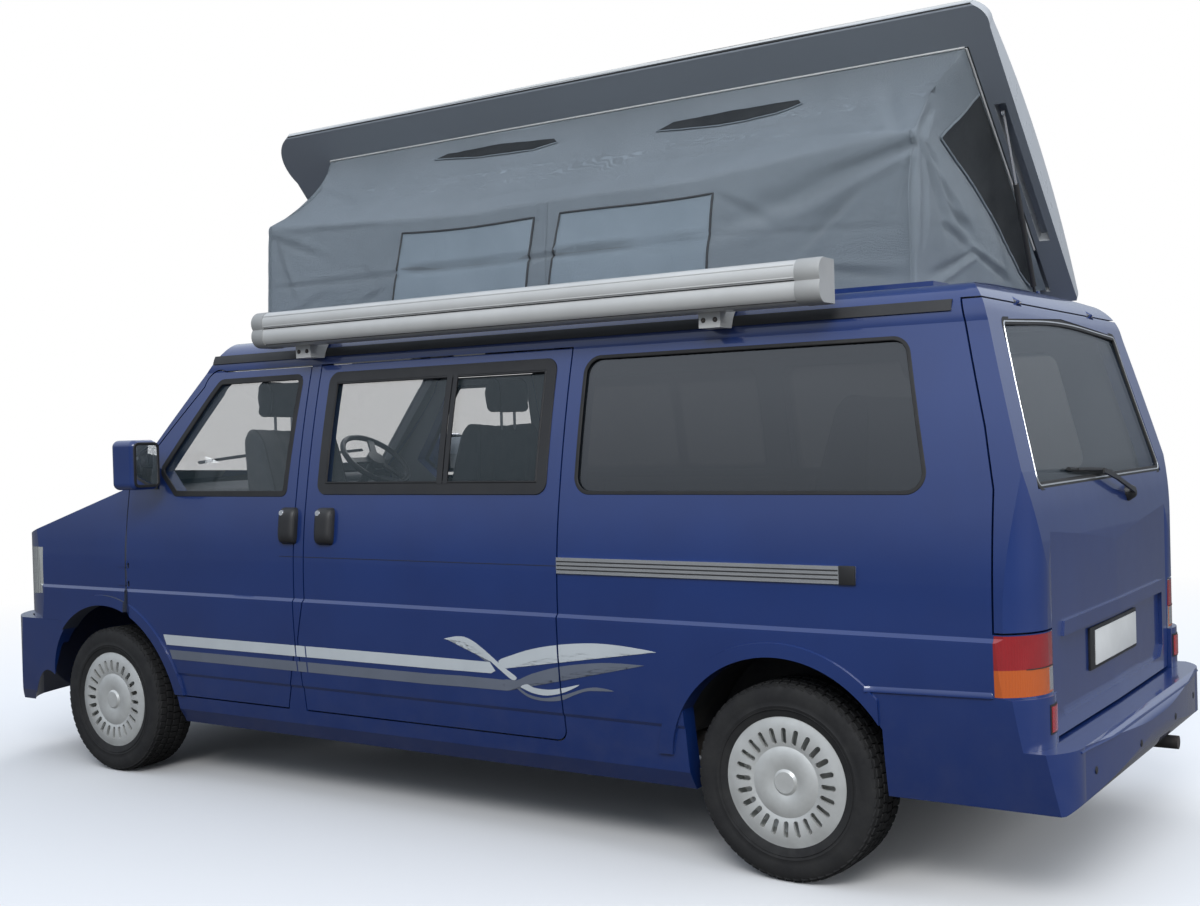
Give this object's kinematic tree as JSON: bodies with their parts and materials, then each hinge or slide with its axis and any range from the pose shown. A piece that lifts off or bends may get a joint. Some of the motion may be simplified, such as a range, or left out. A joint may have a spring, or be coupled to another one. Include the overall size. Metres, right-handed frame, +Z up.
{
  "type": "camper van with elevating roof",
  "caption": "Long camper van on four wheels with a side-hinged elevating roof on canvas walls, sliding side door, top-hinged tailgate and a side awning case.",
  "frame": {"origin": "on the ground, under the middle of the van's length and width", "axes": "+X forward, +Y to the van's left, +Z up"},
  "size_m": [5.1905, 2.168, 2.8273],
  "materials": {
    "body_paint": "gloss",
    "underbody": "satin",
    "clear_glass": "gloss",
    "privacy_glass": "gloss",
    "lamp_lens": "gloss",
    "tail_lens": "gloss",
    "black_plastic": "satin",
    "wheel_silver": "satin",
    "tyre_rubber": "matt",
    "rail_metal": "satin",
    "case_paint": "satin",
    "roof_shell": "gloss",
    "canvas_cloth": "matt",
    "seat_cloth": "matt",
    "furniture": "satin",
    "floor_lining": "matt",
    "casting": "matt",
    "steel": "satin"
  },
  "bodies": {
    "van": {"sliding_door": "body_paint", "floor_pan": "underbody", "front_end": "body_paint", "side_left": "body_paint", "side_right": "body_paint", "roof_panel": "body_paint", "windscreen": "clear_glass", "sliding_door_glass": "clear_glass", "side_glass": "privacy_glass", "headlamps": "lamp_lens", "grille": "black_plastic", "tail_lamps": "tail_lens", "front_bumper": "body_paint", "rear_bumper": "body_paint", "front_suspension": "steel", "rear_axle": "steel", "engine_block": "casting", "fuel_tank": "black_plastic", "exhaust": "steel", "firewall": "underbody", "dashboard": "black_plastic", "front_seats": "seat_cloth", "seat_bases": "floor_lining", "rear_bench": "seat_cloth", "bench_base": "furniture", "cabinet": "furniture", "awning_case": "case_paint", "awning_brackets": "rail_metal", "roof_canvas": "canvas_cloth", "drip_rails": "black_plastic", "sliding_rail": "rail_metal"},
    "front_door_left": {"front_door_left": "body_paint", "door_glass_left": "clear_glass", "mirror_left": "body_paint"},
    "front_door_right": {"front_door_right": "body_paint", "door_glass_right": "clear_glass", "mirror_right": "body_paint"},
    "tailgate": {"tailgate": "body_paint", "tailgate_glass": "privacy_glass"},
    "bonnet": {"bonnet": "body_paint"},
    "raised_roof": {"elevating_roof": "roof_shell"},
    "strut_barrels": {"roof_strut_barrels": "black_plastic"},
    "strut_rods": {"roof_strut_rods": "steel"},
    "knuckle_left": {"knuckle_left": "casting"},
    "knuckle_right": {"knuckle_right": "casting"},
    "steering_wheel": {"steering_wheel": "black_plastic"},
    "wheel_front_left": {"wheel_front_left": "wheel_silver", "tyre_front_left": "tyre_rubber"},
    "wheel_front_right": {"wheel_front_right": "wheel_silver", "tyre_front_right": "tyre_rubber"},
    "wheel_rear_left": {"wheel_rear_left": "wheel_silver", "tyre_rear_left": "tyre_rubber"},
    "wheel_rear_right": {"wheel_rear_right": "wheel_silver", "tyre_rear_right": "tyre_rubber"}
  },
  "joints": [
    {"name": "front_door_left_hinge", "type": "hinge", "parent": "van", "child": "front_door_left", "pos_m": [1.5085, 0.917, 0.9], "axis": [0, 0, -1], "range_deg": [0, 65]},
    {"name": "front_door_right_hinge", "type": "hinge", "parent": "van", "child": "front_door_right", "pos_m": [1.5085, -0.917, 0.9], "axis": [0, 0, 1], "range_deg": [0, 65]},
    {"name": "tailgate_hinge", "type": "hinge", "parent": "van", "child": "tailgate", "pos_m": [-2.2895, 0, 1.826], "axis": [0, 1, 0], "range_deg": [0, 85]},
    {"name": "bonnet_hinge", "type": "hinge", "parent": "van", "child": "bonnet", "pos_m": [1.7705, 0, 1.246], "axis": [0, -1, 0], "range_deg": [0, 55]},
    {"name": "roof_hinge", "type": "hinge", "parent": "van", "child": "raised_roof", "pos_m": [0, -0.665, 1.906], "axis": [1, 0, 0], "range_deg": [-41.4, 0], "deforming": ["roof_canvas"]},
    {"name": "roof_strut_pivot", "type": "hinge", "parent": "van", "child": "strut_barrels", "pos_m": [0, -0.29, 1.911], "axis": [1, 0, 0], "range_deg": [-63, 0]},
    {"name": "roof_strut_slide", "type": "slide", "parent": "strut_barrels", "child": "strut_rods", "axis": [0, 0.4512, 0.8924], "range_m": [-0.1395, 0]},
    {"name": "steering_left", "type": "hinge", "parent": "van", "child": "knuckle_left", "pos_m": [1.6705, 0.66, 0.32], "axis": [0, 0, 1], "range_deg": [-35, 35]},
    {"name": "steering_right", "type": "hinge", "parent": "van", "child": "knuckle_right", "pos_m": [1.6705, -0.66, 0.32], "axis": [0, 0, 1], "range_deg": [-35, 35]},
    {"name": "steering_wheel_turn", "type": "hinge", "parent": "van", "child": "steering_wheel", "pos_m": [1.2455, -0.4, 1.345], "axis": [-0.6428, 0, 0.766], "range_deg": [-525, 525]},
    {"name": "wheel_front_left_spin", "type": "hinge", "parent": "knuckle_left", "child": "wheel_front_left", "pos_m": [1.6705, 0.7945, 0.32], "axis": [0, 1, 0], "continuous": true},
    {"name": "wheel_front_right_spin", "type": "hinge", "parent": "knuckle_right", "child": "wheel_front_right", "pos_m": [1.6705, -0.7945, 0.32], "axis": [0, 1, 0], "continuous": true},
    {"name": "wheel_rear_left_spin", "type": "hinge", "parent": "van", "child": "wheel_rear_left", "pos_m": [-1.6495, 0.777, 0.32], "axis": [0, 1, 0], "continuous": true},
    {"name": "wheel_rear_right_spin", "type": "hinge", "parent": "van", "child": "wheel_rear_right", "pos_m": [-1.6495, -0.777, 0.32], "axis": [0, 1, 0], "continuous": true}
  ],
  "couplings": [
    {"joint": "steering_right", "follows": "steering_left", "ratio": 1},
    {"joint": "steering_wheel_turn", "follows": "steering_left", "ratio": 15},
    {"joint": "roof_strut_pivot", "follows": "roof_hinge", "ratio": 1.5183},
    {"joint": "roof_strut_slide", "follows": "roof_hinge", "m_per_rad": 0.19225}
  ]
}
